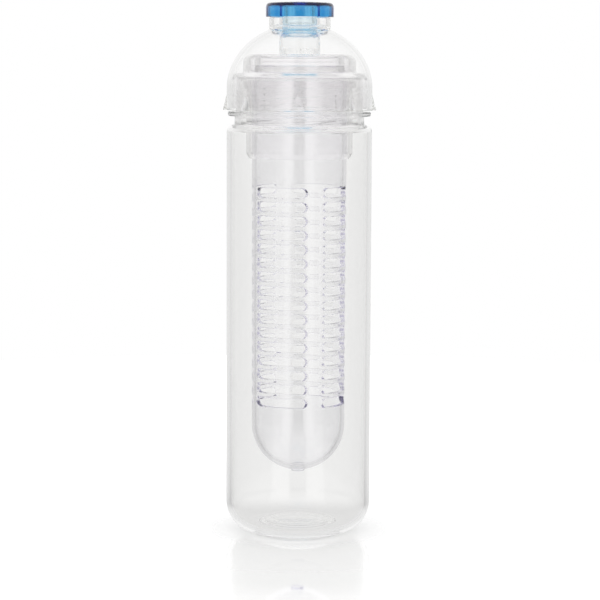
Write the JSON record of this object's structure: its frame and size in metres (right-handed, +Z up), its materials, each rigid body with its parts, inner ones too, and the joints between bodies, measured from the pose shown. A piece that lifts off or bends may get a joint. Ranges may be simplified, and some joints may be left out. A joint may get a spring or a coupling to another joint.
{
  "type": "fruit infuser water bottle",
  "caption": "Clear water bottle with a domed screw lid, a pull-up blue mouthpiece and a slotted fruit infuser that hangs from the lid.",
  "frame": {"origin": "centre of the foot, on the surface that the bottle stands on", "axes": "+Z up the bottle's axis, -Y towards the side that the picture shows, +X to its right"},
  "size_m": [0.0696, 0.0696, 0.242],
  "materials": {
    "clear_bottle": "clear injection-moulded plastic, polished",
    "clear_lid": "clear injection-moulded plastic, polished",
    "clear_liner": "clear injection-moulded plastic, satin inside its threads",
    "clear_infuser": "clear injection-moulded plastic, polished",
    "silicone": "milky silicone rubber",
    "blue_mouthpiece": "see-through blue plastic, polished"
  },
  "bodies": {
    "bottle": {"bottle_body": "clear_bottle"},
    "gasket": {"rim_gasket": "silicone"},
    "lid": {"lid_dome": "clear_lid", "lid_liner": "clear_liner", "infuser_holder": "clear_liner", "valve_pin": "clear_lid"},
    "seal": {"infuser_seal": "silicone"},
    "infuser": {"infuser_basket": "clear_infuser"},
    "mouthpiece": {"pull_cap": "blue_mouthpiece", "cap_stem": "clear_lid", "stem_seal": "silicone"}
  },
  "joints": [
    {"name": "lid_lift", "type": "slide", "parent": "bottle", "child": "gasket", "axis": [0, 0, 1], "range_m": [0, 0.19]},
    {"name": "lid_turn", "type": "hinge", "parent": "gasket", "child": "lid", "pos_m": [0, 0, 0.2066], "axis": [0, 0, 1], "range_deg": [0, 360]},
    {"name": "infuser_drop", "type": "slide", "parent": "lid", "child": "seal", "axis": [0, 0, -1], "range_m": [0, 0.0075]},
    {"name": "infuser_turn", "type": "hinge", "parent": "seal", "child": "infuser", "pos_m": [0, 0, 0.2092], "axis": [0, 0, -1], "range_deg": [0, 300]},
    {"name": "cap_pull", "type": "slide", "parent": "lid", "child": "mouthpiece", "axis": [0, 0, 1], "range_m": [0, 0.0035]}
  ],
  "couplings": [
    {"joint": "infuser_drop", "follows": "infuser_turn", "m_per_rad": 0.00143}
  ]
}
